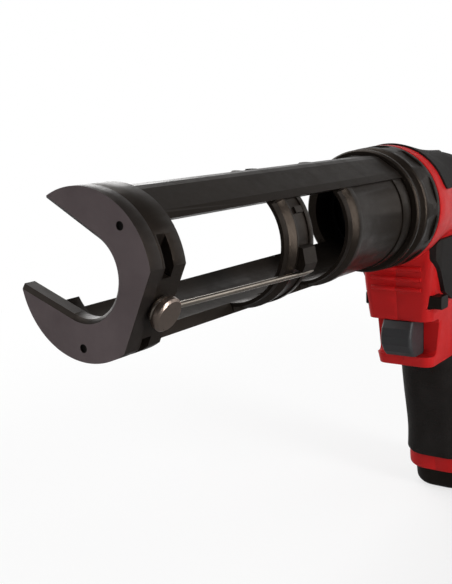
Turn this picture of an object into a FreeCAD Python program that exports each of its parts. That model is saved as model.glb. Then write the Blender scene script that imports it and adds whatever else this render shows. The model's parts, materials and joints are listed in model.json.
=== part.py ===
"""A cordless caulking tool: a cartridge cradle, a toothed rod with its drive, and a pistol-grip housing.

X runs along the tool, from the nose at minus X to the rod's pull ring. Z is up and the tool's left is minus Y.
The origin lies on the tool's axis, in the plane of the lock collar's front face. Sizes are in millimetres.
"""
import FreeCAD, Part
import math
import os
import re
import Sketcher
from FreeCAD import Placement, Rotation, Vector

# Each size: name, value, what it measures. Lengths along X count from the origin unless the text says otherwise.
SIZES = [
    ("nose_reach", 210.5, "nose face in front of the origin"),
    ("cradle_turn", -65, "angle of the cradle about the tool's axis, degrees"),
    ("cradle_bore", 26.0, "inner radius of the cradle"),
    ("cradle_wall", 2.6, "wall of the cradle's shell"),
    ("rail_radius", 30.4, "half width over the side rails"),
    ("rail_top", 13.8, "height of the rails' top edge over the axis"),
    ("rail_drop", 10.7, "depth of the rails' lower inner edge under the axis"),
    ("rail_crease", 10.6, "depth of the rails' lower crease under the axis"),
    ("edge_slope", 48, "slope of the rails' upper and lower edges, degrees"),
    ("window_half", 23.7, "half width of the windows at the bore"),
    ("nose_radius", 31.0, "outer radius of the nose plate and the yoke"),
    ("nose_plate_depth", 6.5, "thickness of the nose plate"),
    ("yoke_depth", 19.0, "nose face to the yoke's rear edge"),
    ("yoke_bore", 24.2, "inner radius of the yoke"),
    ("yoke_flat", 26.5, "flat under the nose, below the axis"),
    ("slot_radius", 15.4, "radius of the nozzle slot's bottom"),
    ("slot_flare", 1.9, "extra half width of the slot at its mouth"),
    ("slot_chamfer", 1.5, "chamfer of the slot's front edge"),
    ("band_start", 92.0, "nose face to the middle band"),
    ("band_end", 108.3, "nose face to the middle band's rear edge"),
    ("floor_start", 147.7, "nose face to the closed floor"),
    ("rim_start", 208.5, "nose face to the rear ring"),
    ("band_lip", 4.0, "shell in front of the band and of the floor"),
    ("lug_angle", -51.4, "small lug on the band, degrees from the cradle's bottom"),
    ("band_radius", 29.6, "outer radius of the band and the floor"),
    ("bevel_radius", 27.6, "radius at the foot of their front bevels"),
    ("bevel_length", 3.0, "length of their front bevels"),
    ("panel_depth", 0.7, "depth of their sunk panels"),
    ("window_corner", 5.0, "corner radius of the cradle's windows"),
    ("mouth_corner", 9.0, "corner radius at the rear of the cradle's mouth"),
    ("flange_start", 11.5, "front face of the cradle's flange"),
    ("flange_depth", 4.0, "thickness of the cradle's flange"),
    ("flange_radius", 31.0, "outer radius of the cradle's flange"),
    ("nose_pin_radius", 1.6, "radius of the nose plate's pins"),
    ("nose_pin_side", 24.2, "pins to the side of the axis"),
    ("nose_pin_drop", 9.4, "pins below the axis"),
    ("nose_pin_sink", 0.6, "pin heads under the plate's face"),
    ("pivot_set_back", 10.6, "nose face to the punch pivot"),
    ("pivot_radius", 2.5, "radius of the pivot's shank"),
    ("pivot_head_radius", 6.5, "radius of the pivot's head"),
    ("pivot_head_depth", 2.9, "thickness of the pivot's head"),
    ("punch_shank", 1.15, "radius of the straight part of the wire"),
    ("punch_radius", 1.3, "radius of the seal punch's wire"),
    ("punch_eye", 4.1, "radius of the eye's centre line"),
    ("punch_reach", 98.0, "pivot to the punch's tip"),
    ("punch_slope", 2.45, "fall of the punch away from the axis, degrees"),
    ("punch_gap", 0.15, "punch eye to the yoke's flat and to the pivot's head"),
    ("collar_length", 26.3, "length of the lock collar"),
    ("collar_lip", 32.5, "radius of the collar's front lip"),
    ("collar_groove", 30.6, "radius of the collar's groove"),
    ("collar_front", 33.0, "radius of the grip band's front"),
    ("collar_rear", 33.6, "radius of the grip band's rear"),
    ("collar_bore", 29.0, "radius of the collar's front bore"),
    ("collar_thread", 31.35, "radius of the collar's threaded bore"),
    ("pad_depth", 1.15, "depth of the grip recesses below the band's rear radius"),
    ("collar_pad_count", 10, "shallow grip recesses round the collar"),
    ("spigot_radius", 31.1, "radius of the gear nose's threaded spigot"),
    ("spigot_start", 15.8, "front face of the gear nose"),
    ("neck_radius", 29.6, "radius of the gear nose's neck in the housing"),
    ("nose_flange_radius", 30.6, "radius of the gear nose's rear flange"),
    ("nose_flange_end", 34.0, "rear face of the gear nose"),
    ("plunger_well", 24.4, "radius of the well that takes the plunger"),
    ("well_end", 22.6, "bottom of that well"),
    ("rod_radius", 5.5, "radius of the rod"),
    ("rod_fit", 0.06, "radial running clearance of the rod in its bushes"),
    ("rod_front", 19.0, "front end of the rod at rest"),
    ("stroke", 200.0, "travel of the rod"),
    ("plunger_radius", 22.5, "radius of the plunger disc"),
    ("plunger_front", 15.2, "front face of the plunger disc"),
    ("plunger_back", 21.4, "rear edge of the plunger disc"),
    ("bush_radius", 8.0, "outer radius of the rod bushes"),
    ("rack_module", 1.25, "tooth module of the rod"),
    ("rack_pitch_line", 3.2, "pitch line of the rod's teeth, below the axis"),
    ("rack_start", 36.0, "front end of the toothed length"),
    ("pinion_teeth", 14, "teeth of the rod pinion"),
    ("pinion_width", 9.0, "face width of the rod pinion"),
    ("drive_x", 72.0, "drive shaft behind the origin"),
    ("drive_module", 1.0, "tooth module of the reduction"),
    ("gear_teeth", 40, "teeth of the drive gear"),
    ("output_teeth", 12, "teeth of the output pinion"),
    ("output_lean", 20, "line of centres off the vertical, degrees"),
    ("gear_inner", 6.6, "inner face of the drive gear, from the middle plane"),
    ("gear_width", 7.0, "face width of the drive gear"),
    ("tooth_gap", 0.16, "play between meshing teeth"),
    ("pressure", 25, "pressure angle of all teeth, degrees"),
    ("shaft_radius", 4.0, "radius of the drive shaft"),
    ("output_radius", 3.0, "radius of the output shaft"),
    ("cheek_inner", 15.0, "inner face of the gear frame's cheeks"),
    ("cheek_depth", 3.0, "thickness of the cheeks and the frame's front wall"),
    ("shaft_fit", 0.04, "radial running clearance of the shafts"),
    ("motor_radius", 14.0, "radius of the motor"),
    ("motor_length", 26.0, "length of the motor's can"),
    ("case_front", 64.0, "front face of the gearbox case"),
    ("case_back", 97.0, "rear face of the gearbox case"),
    ("case_left", 14.5, "left face of the gearbox case, from the middle plane"),
    ("case_right", 5.8, "right face of the gearbox case, from the middle plane"),
    ("case_half_height", 13.0, "half height of the gearbox case"),
    ("wall", 2.4, "wall of the housing"),
    ("body_front", 26.6, "front face of the housing"),
    ("body_back", 147.0, "rear face of the housing"),
    ("cover_depth", 1.1, "thickness of the top covers over the housing"),
    ("cover_front", 37.0, "front edge of the top covers"),
    ("cover_edge", 9.0, "lower edge of the top covers over the axis"),
    ("panel_rise", 2.6, "thickness of the side panels over the housing"),
    ("grip_depth", 1.6, "thickness of the handle grips over the housing"),
    ("rake", 12, "lean of the handle, degrees"),
    ("handle_x", 103.5, "handle axis behind the origin at the handle's top"),
    ("handle_drop", 60.0, "handle's top below the tool's axis"),
    ("handle_length", 118.0, "handle's top to its lower rim"),
    ("notch_top", 68.0, "top of the trigger notch below the axis"),
    ("notch_bottom", 90.5, "bottom of the trigger notch below the axis"),
    ("notch_back", 60.0, "rear of the trigger notch"),
    ("chin", 97.0, "lower face of the lip under the trigger"),
    ("trigger_half", 9.6, "half width of the trigger"),
    ("trigger_gap", 0.6, "trigger to the notch"),
    ("trigger_front", 41.5, "foremost face of the trigger"),
    ("trigger_back", 66.0, "rear face of the trigger"),
    ("trigger_pull", 6.0, "travel of the trigger"),
    ("switch_front", 75.0, "front face of the switch box"),
    ("switch_length", 22.0, "length of the switch box"),
    ("switch_half", 8.5, "half width of the switch box"),
    ("spring_radius", 3.4, "mean radius of the trigger spring"),
    ("spring_wire", 0.45, "wire radius of the small springs"),
    ("spring_turns", 5, "turns of the trigger spring"),
    ("neck_corner", 6.0, "radius of the neck's front corners"),
    ("ridge_half", 15.4, "half length of the neck's ridges"),
    ("shuttle_front", 46.0, "front face of the lock shuttle"),
    ("shuttle_length", 10.0, "length of the lock shuttle"),
    ("shuttle_top", 52.5, "top of the lock shuttle below the axis"),
    ("shuttle_height", 7.5, "height of the lock shuttle"),
    ("shuttle_left", 26.5, "left end of the lock shuttle, from the middle plane"),
    ("shuttle_right", 20.4, "right end of the lock shuttle, from the middle plane"),
    ("slide_gap", 0.35, "clearance round sliding and turning pieces"),
    ("dial_x", 98.0, "axle of the speed dial behind the origin"),
    ("dial_z", 17.6, "axle of the speed dial over the axis"),
    ("dial_radius", 9.8, "radius of the speed dial"),
    ("dial_half", 3.4, "half width of the speed dial"),
    ("axle_radius", 1.5, "radius of the speed dial's axle"),
    ("button_drop", 15.4, "release button below the axis"),
    ("button_radius", 4.2, "radius of the release button"),
    ("button_press", 3.5, "travel of the release button"),
    ("screw_radius", 1.5, "radius of the housing screws"),
    ("screw_head", 2.9, "radius of the housing screws' heads"),
    ("boss_radius", 4.4, "radius of the screw bosses"),
    ("pack_half_depth", 19.8, "half depth of the battery case"),
    ("pack_half_width", 18.1, "half width of the battery case"),
    ("pack_corner", 11.0, "corner radius of the battery case"),
    ("pack_top", 40.0, "handle's top to the battery case's top"),
    ("pack_wall", 1.3, "wall of the battery case"),
    ("foot_gap", 0.5, "handle's rim to the battery foot"),
    ("foot_height", 15.5, "height of the battery foot"),
    ("foot_front", 22.9, "battery foot in front of the handle's axis"),
    ("foot_back", 25.8, "battery foot behind the handle's axis"),
    ("foot_half", 20.0, "half width of the battery foot"),
    ("foot_corner", 15.0, "corner radius of the battery foot"),
    ("foot_round", 4.5, "rounding of the foot's lower edge"),
    ("cell_radius", 8.9, "radius of a battery cell"),
    ("cell_length", 64.0, "length of a battery cell"),
    ("latch_travel", 1.5, "travel of a battery latch"),
    ("latch_proud", 1.2, "latch buttons over the foot's sides"),
    ("ring_radius", 14.0, "radius of the pull ring's centre line"),
    ("ring_wire", 4.0, "radius of the pull ring's bar"),
]

# Housing stations: tool axis position, top, bottom and half width of the barrel.
BARREL = [
    (26.6, 33.6, 33.6, 33.6),
    (38.0, 33.0, 33.0, 33.0),
    (52.0, 30.8, 31.0, 31.0),
    (73.0, 28.0, 30.0, 29.0),
    (93.0, 26.3, 30.0, 27.5),
    (109.0, 24.0, 30.0, 25.5),
    (125.0, 20.4, 29.5, 22.5),
    (136.0, 17.0, 28.0, 19.5),
    (147.0, 11.0, 24.5, 15.0),
]
# Depth below the tool's axis, front, rear and half width of the neck block.
NECK = [
    (8.0, 45.0, 134.0, 24.0),
    (24.0, 43.8, 132.5, 23.4),
    (45.0, 43.5, 130.0, 22.0),
    (60.0, 44.5, 126.0, 20.6),
    (80.0, 48.0, 110.0, 18.6),
    (97.0, 53.0, 106.0, 17.2),
]
# Distance down the handle, reach in front of its axis, reach behind it and half width.
GRIP = [
    (-18.0, 20.0, 24.0, 19.0),
    (0.0, 21.0, 24.5, 19.6),
    (20.0, 22.4, 25.0, 20.6),
    (40.0, 23.5, 24.8, 21.2),
    (72.0, 23.6, 24.5, 21.4),
    (98.0, 24.0, 24.5, 21.5),
    (111.0, 25.3, 25.5, 22.5),
    (118.0, 25.6, 25.8, 22.8),
]
# Side outlines, as positions along X and heights.
PANEL_SIDE = [(44.3, -20), (44.3, -31.5), (57.5, -51.5), (70, -58), (92, -59), (112, -47), (116, -28), (108, -20)]
CHEEK_SIDE = [(38, -16), (38, 13), (62, 13), (84, 8), (95, -18), (95, -48), (66, -48), (58, -34), (48, -20)]
# Housing screws, as positions along X and heights.
SCREWS = [("62", "-61.4"), ("114", "12.5"), ("117", "-58.5"), ("57", "19.5")]

# Frame screws, to the side and over the tool's axis.
FRAME_SCREWS = [("-12.2", "12.2"), ("12.2", "12.2"), ("-12.2", "-12.2"), ("12.2", "-12.2")]

doc = FreeCAD.newDocument("caulking_tool")
sheet = doc.addObject("Spreadsheet::Sheet", "Sizes")
for row, (alias, amount, note) in enumerate(SIZES, 1):
    sheet.set(f"A{row}", alias)
    sheet.set(f"B{row}", str(amount))
    sheet.setAlias(f"B{row}", alias)
    sheet.set(f"C{row}", note)
doc.recompute()

NAMES = {alias for alias, amount, note in SIZES}
WORD = re.compile(r"[a-z][a-z_]*")
BIG = 400.0


def formula(text):
    """A formula with each size's name turned into a reference to its cell."""
    return WORD.sub(lambda word: f"Sizes.{word[0]}" if word[0] in NAMES else word[0], str(text))


def mm(text):
    """The present value of a formula."""
    return float(sheet.evalExpression(formula(text)))


def bind(item, **formulas):
    """Ties properties of an object to formulas; two underscores stand for a dot."""
    for name, text in formulas.items():
        item.setExpression(name.replace("__", "."), formula(text))
    return item


def place(item, x="0", y="0", z="0", axis=(0, 0, 1), angle="0"):
    """Puts an object at a bound position, turned by a bound angle about an axis."""
    item.Placement = Placement(Vector(), Rotation(Vector(*axis), 1))
    return bind(item, Placement__Base__x=x, Placement__Base__y=y, Placement__Base__z=z,
                Placement__Rotation__Angle=angle)


def fresh(kind, name):
    """A new object; its Label is set later where it is a piece."""
    return doc.addObject(kind, name)


def rod_along(name, radius, length, axis, x="0", y="0", z="0"):
    """A cylinder along +X, +Y or +Z from a bound point."""
    item = bind(fresh("Part::Cylinder", name), Radius=radius, Height=length)
    turns = {"x": ((0, 1, 0), "90"), "y": ((1, 0, 0), "-90"), "z": ((0, 0, 1), "0")}
    return place(item, x, y, z, *turns[axis])


def block(name, length, width, height, x, y, z):
    """A box with bound sizes and a bound corner."""
    item = bind(fresh("Part::Box", name), Length=length, Width=width, Height=height)
    return place(item, x, y, z)


def fuse(name, *items):
    joined = fresh("Part::MultiFuse", name)
    joined.Shapes = list(items)
    joined.Refine = False
    return joined


def cut(name, base, *tools):
    """The base less all tools."""
    item = fresh("Part::Cut", name)
    item.Base = base
    item.Tool = tools[0] if len(tools) == 1 else fuse(name + "_tools", *tools)
    item.Refine = False
    return item


def common(name, *items):
    item = fresh("Part::MultiCommon", name)
    item.Shapes = list(items)
    item.Refine = False
    return item


def fixed(name, shape):
    """A piece whose shape comes from Part's own functions."""
    item = fresh("Part::Feature", name)
    item.Shape = shape
    return item


def sketch_on(body, plane, points=(), circles=(), offset="0"):
    """A constrained outline and circles on one of the body's origin planes."""
    support = [item for item in body.Origin.OriginFeatures if item.Role == plane][0]
    sketch = body.newObject("Sketcher::SketchObject", body.Name + "_sketch")
    sketch.AttachmentSupport = [(support, "")]
    sketch.MapMode = "FlatFace"
    bind(sketch, AttachmentOffset__Base__z=offset)
    corners = [Vector(mm(across), mm(up), 0) for across, up in points]
    for start, end in zip(corners, corners[1:] + corners[:1]):
        sketch.addGeometry(Part.LineSegment(start, end), False)
    for line in range(len(corners)):
        sketch.addConstraint(Sketcher.Constraint("Coincident", line, 2, (line + 1) % len(corners), 1))
    for line, (across, up) in enumerate(points):
        for kind, text in (("DistanceX", across), ("DistanceY", up)):
            index = sketch.addConstraint(Sketcher.Constraint(kind, line, 1, mm(text)))
            sketch.setExpression(f"Constraints[{index}]", formula(text))
    for across, up, radius in circles:
        centre = Vector(mm(across), mm(up), 0)
        ring = sketch.addGeometry(Part.Circle(centre, Vector(0, 0, 1), mm(radius)), False)
        for kind, text in (("DistanceX", across), ("DistanceY", up)):
            index = sketch.addConstraint(Sketcher.Constraint(kind, ring, 3, mm(text)))
            sketch.setExpression(f"Constraints[{index}]", formula(text))
        index = sketch.addConstraint(Sketcher.Constraint("Radius", ring, mm(radius)))
        sketch.setExpression(f"Constraints[{index}]", formula(radius))
    return sketch


def turned(name, points):
    """A body turned about the tool's axis from positions along X and radii."""
    body = fresh("PartDesign::Body", name)
    sketch = sketch_on(body, "XZ_Plane", points)
    spin = body.newObject("PartDesign::Revolution", name + "_turn")
    spin.Profile = sketch
    spin.ReferenceAxis = (sketch, ["H_Axis"])
    spin.Angle = 360
    return body


def slab(name, plane, points, length, offset="0", circles=(), both=False, corner=None):
    """A body padded from an outline; corner rounds the edges that run along the pad."""
    body = fresh("PartDesign::Body", name)
    pad = body.newObject("PartDesign::Pad", name + "_pad")
    pad.Profile = sketch_on(body, plane, points, circles, offset)
    body.Tip = pad
    bind(pad, Length=length)
    if both:
        pad.SideType = "Symmetric"
    if corner:
        doc.recompute()
        along = pad.Profile[0].Placement.Rotation.multVec(Vector(0, 0, 1))
        upright = [f"Edge{number}" for number, edge in enumerate(pad.Shape.Edges, 1)
                   if abs(abs(edge.tangentAt(edge.FirstParameter).dot(along)) - 1) < 1e-6]
        rounding = body.newObject("PartDesign::Fillet", name + "_round")
        rounding.Base = (pad, upright)
        bind(rounding, Radius=corner)
    return body


def oblong(name, plane, low_a, high_a, low_b, high_b, length, offset="0", corner=None, both=False):
    """A padded rectangle given by its limits."""
    outline = [(low_a, low_b), (high_a, low_b), (high_a, high_b), (low_a, high_b)]
    return slab(name, plane, outline, length, offset, corner=corner, both=both)


# Cradle

def nose_slot(name, radius, start, length):
    """The nozzle slot: a round bottom with walls that flare to its mouth."""
    mouth = "nose_radius + 5"
    flare = f"{radius} + slot_flare * ({mouth}) / 25"
    walls = slab(name + "_walls", "YZ_Plane",
                 [(f"-({radius})", "0"), (radius, "0"), (flare, mouth), (f"-({flare})", mouth)],
                 length, start)
    return fuse(name, walls, rod_along(name + "_bottom", radius, length, "x", start))


def rail(name, side):
    """One side rail, as a beam along the cradle."""
    outline = [("rail_radius - 3.6", "-rail_drop - 3.5"), ("rail_radius - 2.1", "-rail_crease"),
               ("rail_radius", "1.6"), ("rail_radius - 0.2", "4.6"), ("rail_radius - 2.8", "rail_top - 3.4"),
               ("cradle_bore - 0.6", "rail_top"), ("22.2", "rail_top"), ("25.9", "0"),
               ("window_half - 0.8", "-rail_drop - 1.5")]
    points = [(f"{side} * ({across})", up) for across, up in outline]
    return slab(name, "YZ_Plane", points, "nose_reach - yoke_depth - 0.6", "yoke_depth - nose_reach")


def window(name, start, end):
    """One window in the cradle's bottom, with rounded corners and sloped side edges."""
    room = oblong(f"{name}_room", "XY_Plane", f"{start} - nose_reach", f"{end} - nose_reach", "-rail_radius - 4",
                  "rail_radius + 4", "40", "-40 - rail_drop", "window_corner")
    outer = "window_half + 14"
    low = "-rail_drop - 14 * tan(edge_slope)"
    edges = [slab(f"{name}_edge_{index}", "YZ_Plane",
                  [(f"{side} * window_half", "-rail_drop"), (f"{side} * ({outer})", low),
                   (f"{side} * ({outer})", "-rail_drop + 1"), (f"{side} * window_half", "-rail_drop + 1")],
                  f"{end} - ({start}) + 2", f"{start} - nose_reach - 1") for index, side in enumerate((-1, 1))]
    return cut(name, room, *edges)


def rail_top_bevel(name, side):
    """The slope on the inner upper edge of one rail, behind the yoke."""
    edge = "cradle_bore - 0.6"
    top = "rail_top + 0.5 * tan(edge_slope)"
    points = [(f"{side} * ({edge} - 5)", "rail_top - 5 * tan(edge_slope)"), (f"{side} * ({edge} + 0.5)", top),
              (f"{side} * ({edge} - 5)", top)]
    return slab(name, "YZ_Plane", points, "rim_start - yoke_depth", "yoke_depth - nose_reach")


def cradle():
    nose = "-nose_reach"
    shell = "cradle_bore + cradle_wall"
    panel = "band_radius - panel_depth"
    outside = [
        (f"{nose} + nose_plate_depth", "nose_radius"),
        (f"{nose} + yoke_depth", "nose_radius"),
        (f"{nose} + yoke_depth + 1", "bevel_radius"),
        (f"{nose} + band_start", "bevel_radius"),
        (f"{nose} + band_start + bevel_length", "band_radius"),
        (f"{nose} + band_start + bevel_length + 1.2", "band_radius"),
        (f"{nose} + band_start + bevel_length + 1.2", panel),
        (f"{nose} + band_end - 3.2", panel),
        (f"{nose} + band_end - 3.2", "band_radius"),
        (f"{nose} + band_end", "band_radius"),
        (f"{nose} + band_end", "bevel_radius"),
        (f"{nose} + floor_start", "bevel_radius"),
        (f"{nose} + floor_start + bevel_length", "band_radius"),
        (f"{nose} + floor_start + 7", "band_radius"),
        (f"{nose} + floor_start + 7", panel),
        (f"{nose} + rim_start - 9.5", panel),
        (f"{nose} + rim_start - 9.5", "band_radius"),
        (f"{nose} + rim_start - 1", "band_radius"),
        ("-0.6", shell),
        ("flange_start", shell),
        ("flange_start", "flange_radius"),
        ("flange_start + flange_depth", "flange_radius"),
        ("flange_start + flange_depth", "cradle_bore"),
        (f"{nose} + yoke_depth", "cradle_bore"),
        (f"{nose} + yoke_depth", "yoke_bore"),
        (f"{nose} + nose_plate_depth", "yoke_bore"),
    ]
    tube = turned("cradle_tube", outside)
    clip = slab("punch_clip", "YZ_Plane",
                [("-11", "-26.6"), ("-punch_radius - 0.4", "-28.6"), ("-punch_radius - 0.4", "-33.2"),
                 ("-5.5", "-33.2"), ("-11", "-29.4")], "10", f"{nose} + band_end - 12")
    lug = slab("band_lug", "YZ_Plane", [("-1.4", "-27"), ("1.4", "-27"), ("1.4", "-band_radius - 0.4"),
                                        ("-1.4", "-band_radius - 0.4")], "5.4", f"{nose} + 98.6")
    place(lug, "0", "0", "0", (1, 0, 0), "lug_angle")
    solid = fuse("cradle_solid", tube, rail("left_rail", -1), rail("right_rail", 1), clip, lug)
    mouth = oblong("cradle_mouth", "XY_Plane", f"{nose} - mouth_corner", f"{nose} + rim_start", "-32", "32",
                   "40", "rail_top", "mouth_corner")
    front_window = window("front_window", "yoke_depth", "band_start - band_lip")
    rear_window = window("rear_window", "band_end", "floor_start - band_lip")
    tops = [rail_top_bevel("left_top_bevel", -1), rail_top_bevel("right_top_bevel", 1)]
    bore = rod_along("cradle_clear", "cradle_bore", "nose_reach - yoke_depth + 20", "x", f"{nose} + yoke_depth")
    slot = nose_slot("yoke_slot", "slot_radius + 1", f"{nose} - 1", "yoke_depth + 1.001")
    under = block("yoke_under", "yoke_depth + 1", "60", "20", nose, "-30", "-yoke_flat - 20")
    pocket = [oblong(f"yoke_pocket_{side}", "XZ_Plane", f"{nose} + nose_plate_depth + 1.2",
                     f"{nose} + nose_plate_depth + 5.8", "-yoke_flat - 1", "-18.8", "40",
                     "11.8" if side == "left" else "-51.8", "0.5") for side in ("left", "right")]
    hole = rod_along("pivot_hole", "pivot_radius", "10", "z", f"{nose} + pivot_set_back", "0", "-yoke_flat - 4")
    pin_holes = [rod_along(f"yoke_pin_hole_{index}", "nose_pin_radius", "6", "x", f"{nose} + nose_plate_depth",
                           f"{side} * nose_pin_side", "-nose_pin_drop") for index, side in enumerate((-1, 1))]
    return cut("cradle", solid, mouth, front_window, rear_window, *tops, bore, slot, under, hole, *pocket, *pin_holes)


def nose_plate():
    nose = "-nose_reach"
    disc = rod_along("nose_disc", "nose_radius", "nose_plate_depth", "x", nose)
    slot = nose_slot("plate_slot", "slot_radius", f"{nose} - 1", "nose_plate_depth + 2")
    under = block("plate_under", "nose_plate_depth + 2", "60", "20", f"{nose} - 1", "-30", "-yoke_flat - 20")
    lead = bind(fresh("Part::Cone", "slot_lead"), Radius1="slot_radius + slot_chamfer", Radius2="slot_radius",
                Height="slot_chamfer")
    place(lead, nose, "0", "0", (0, 1, 0), "90")
    holes = [rod_along(f"plate_pin_hole_{index}", "nose_pin_radius", "nose_plate_depth + 2", "x", f"{nose} - 1",
                       f"{side} * nose_pin_side", "-nose_pin_drop") for index, side in enumerate((-1, 1))]
    wedges = [slot_bevel(side) for side in (-1, 1)]
    return cut("nose_plate", disc, slot, under, lead, *holes, *wedges)


def slot_bevel(side):
    """The chamfer along one straight wall of the nozzle slot."""
    name = "left_bevel" if side < 0 else "right_bevel"
    outline = [("-nose_reach", f"{side} * (slot_radius - 2)"),
               ("-nose_reach", f"{side} * (slot_radius + slot_chamfer)"),
               ("-nose_reach + slot_chamfer", f"{side} * slot_radius"),
               ("-nose_reach + slot_chamfer", f"{side} * (slot_radius - 2)")]
    body = slab(name, "XY_Plane", outline, "nose_radius + 5")
    return place(body, "0", "0", "0", (1, 0, 0), f"{-side} * atan(slot_flare / 25)")


def nose_pins():
    pins = [rod_along(f"nose_pin_{index}", "nose_pin_radius", "nose_plate_depth + 6 - nose_pin_sink", "x",
                      "-nose_reach + nose_pin_sink", f"{side} * nose_pin_side", "-nose_pin_drop")
            for index, side in enumerate((-1, 1))]
    item = fresh("Part::Compound", "nose_pins")
    item.Links = pins
    return item


def punch_pivot():
    base = "yoke_flat + 2 * punch_radius + 2 * punch_gap"
    shank = rod_along("pivot_shank", "pivot_radius", f"{base} - yoke_bore", "z", "-nose_reach + pivot_set_back", "0",
                      f"-({base})")
    head = bind(fresh("Part::Cone", "pivot_head"), Radius1="pivot_head_radius - 0.8", Radius2="pivot_head_radius",
                Height="0.8")
    place(head, "-nose_reach + pivot_set_back", "0", f"-({base}) - pivot_head_depth")
    disc = rod_along("pivot_disc", "pivot_head_radius", "pivot_head_depth - 0.8", "z",
                     "-nose_reach + pivot_set_back", "0", f"-({base}) - pivot_head_depth + 0.8")
    return fuse("punch_pivot", shank, head, disc)


def punch_wire():
    level = "-yoke_flat - punch_gap - punch_radius"
    eye = bind(fresh("Part::Torus", "punch_eye"), Radius1="punch_eye", Radius2="punch_radius")
    place(eye, "-nose_reach + pivot_set_back", "0", level, (0, 0, 1), "180")
    start = "-nose_reach + pivot_set_back + punch_eye"
    shank = bind(fresh("Part::Cylinder", "punch_shank"), Radius="punch_shank", Height="punch_reach - punch_eye - 6")
    place(shank, start, "0", level, (0, 1, 0), "90 + punch_slope")
    tip = bind(fresh("Part::Cone", "punch_tip"), Radius1="punch_shank", Radius2="0.25", Height="6")
    place(tip, f"{start} + (punch_reach - punch_eye - 6) * cos(punch_slope)", "0",
          f"{level} - (punch_reach - punch_eye - 6) * sin(punch_slope)", (0, 1, 0), "90 + punch_slope")
    return fuse("punch_wire", eye, shank, tip)


# Collar, gear nose and rod

def lock_collar():
    body = turned("lock_collar", [
        ("0", "collar_bore"), ("0", "collar_lip - 0.9"), ("0.9", "collar_lip"), ("2.6", "collar_lip"),
        ("3.3", "collar_groove"), ("8.6", "collar_groove"), ("9.5", "collar_front - 0.6"), ("10.2", "collar_front"),
        ("collar_length - 0.9", "collar_rear"), ("collar_length", "collar_rear - 0.9"),
        ("collar_length", "collar_thread"), ("flange_start - 0.3", "collar_thread"),
        ("flange_start - 0.3", "collar_bore")])
    pocket = body.newObject("PartDesign::Pocket", "collar_pocket")
    pocket.Profile = sketch_on(body, "XY_Plane", [("13", "-7.2"), ("22.5", "-7.2"), ("22.5", "7.2"), ("13", "7.2")],
                               (), "collar_rear - pad_depth")
    pocket.Reversed = True
    bind(pocket, Length="6")
    round_axis = [item for item in body.Origin.OriginFeatures if item.Role == "X_Axis"][0]
    pattern = body.newObject("PartDesign::PolarPattern", "collar_pockets")
    pattern.Originals = [pocket]
    pattern.Axis = (round_axis, [""])
    pattern.Angle = 360
    bind(pattern, Occurrences="collar_pad_count")
    body.Tip = pattern
    return body


def gear_nose():
    flange = turned("nose_turning", [
        ("spigot_start", "plunger_well"), ("spigot_start", "spigot_radius - 0.8"),
        ("spigot_start + 0.8", "spigot_radius"), ("body_front - 0.1", "spigot_radius"),
        ("body_front - 0.1", "neck_radius"), ("body_front + wall + 0.2", "neck_radius"),
        ("body_front + wall + 0.2", "nose_flange_radius"), ("nose_flange_end", "nose_flange_radius"),
        ("nose_flange_end", "bush_radius"), ("well_end", "bush_radius"), ("well_end", "plunger_well")])
    holes = [rod_along(f"nose_screw_hole_{index}", "2", "8", "x", "nose_flange_end - 7", y, z)
             for index, (y, z) in enumerate(FRAME_SCREWS)]
    return cut("gear_nose", flange, *holes)


def front_bush():
    return turned("front_bush", [
        ("well_end", "rod_radius + rod_fit"), ("well_end", "bush_radius"), ("nose_flange_end", "bush_radius"),
        ("nose_flange_end", "rod_radius + rod_fit")])


def rear_bush():
    return turned("rear_bush", [
        ("body_back - wall - 2", "rod_radius + rod_fit"), ("body_back - wall - 2", "bush_radius + 1.4"),
        ("body_back - wall", "bush_radius + 1.4"), ("body_back - wall", "bush_radius"),
        ("body_back + 1.2", "bush_radius"), ("body_back + 1.2", "rod_radius + rod_fit")])


def plunger_disc():
    return turned("plunger_disc", [
        ("plunger_front", "2.5"), ("plunger_front", "plunger_radius - 3"), ("plunger_front + 1.2", "plunger_radius"),
        ("plunger_back", "plunger_radius"), ("plunger_back", "plunger_radius - 1.6"),
        ("plunger_front + 2.6", "plunger_radius - 3.6"), ("plunger_front + 2.6", "9"), ("rod_front", "7.5"),
        ("rod_front", "2.5")])


def plunger_screw():
    return turned("plunger_screw", [
        ("plunger_front - 2.4", "0"), ("plunger_front - 2.4", "3.6"), ("plunger_front - 1.4", "4.6"),
        ("plunger_front", "4.6"), ("plunger_front", "2.5"), ("rod_front + 9", "2.5"), ("rod_front + 9", "0")])


def rack_comb():
    """The waste between and under the rod's teeth, as one comb along the toothed length."""
    module = mm("rack_module")
    pitch = math.pi * module
    slope = math.tan(math.radians(mm("pressure")))
    line = -mm("rack_pitch_line")
    tip = line - module
    root = line + 1.3 * module
    half = pitch / 4 - mm("tooth_gap") / 2
    first = math.ceil((mm("rack_start") - mm("drive_x")) / pitch)
    last = math.floor((mm("body_back + stroke - 6") - mm("drive_x")) / pitch)
    points = []
    for number in range(first, last):
        right = mm("drive_x") + number * pitch + half
        left = mm("drive_x") + (number + 1) * pitch - half
        points.append(Vector(right + module * -slope, 0, tip))
        points.append(Vector(right + 1.3 * module * slope, 0, root))
        points.append(Vector(left - 1.3 * module * slope, 0, root))
        points.append(Vector(left + module * slope, 0, tip))
    under = [Vector(points[-1].x, 0, -BIG), Vector(points[0].x, 0, -BIG)]
    face = Part.Face(Part.makePolygon(points + under + points[:1]))
    face.translate(Vector(0, -BIG / 2, 0))
    return fixed("rack_comb", face.extrude(Vector(0, BIG, 0)))


def rack_rod():
    bar = rod_along("rod_bar", "rod_radius", "body_back + stroke + 12 - rod_front", "x", "rod_front")
    thread = rod_along("rod_thread", "2.5", "9", "x", "rod_front")
    return cut("rack_rod", bar, rack_comb(), thread)


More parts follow.
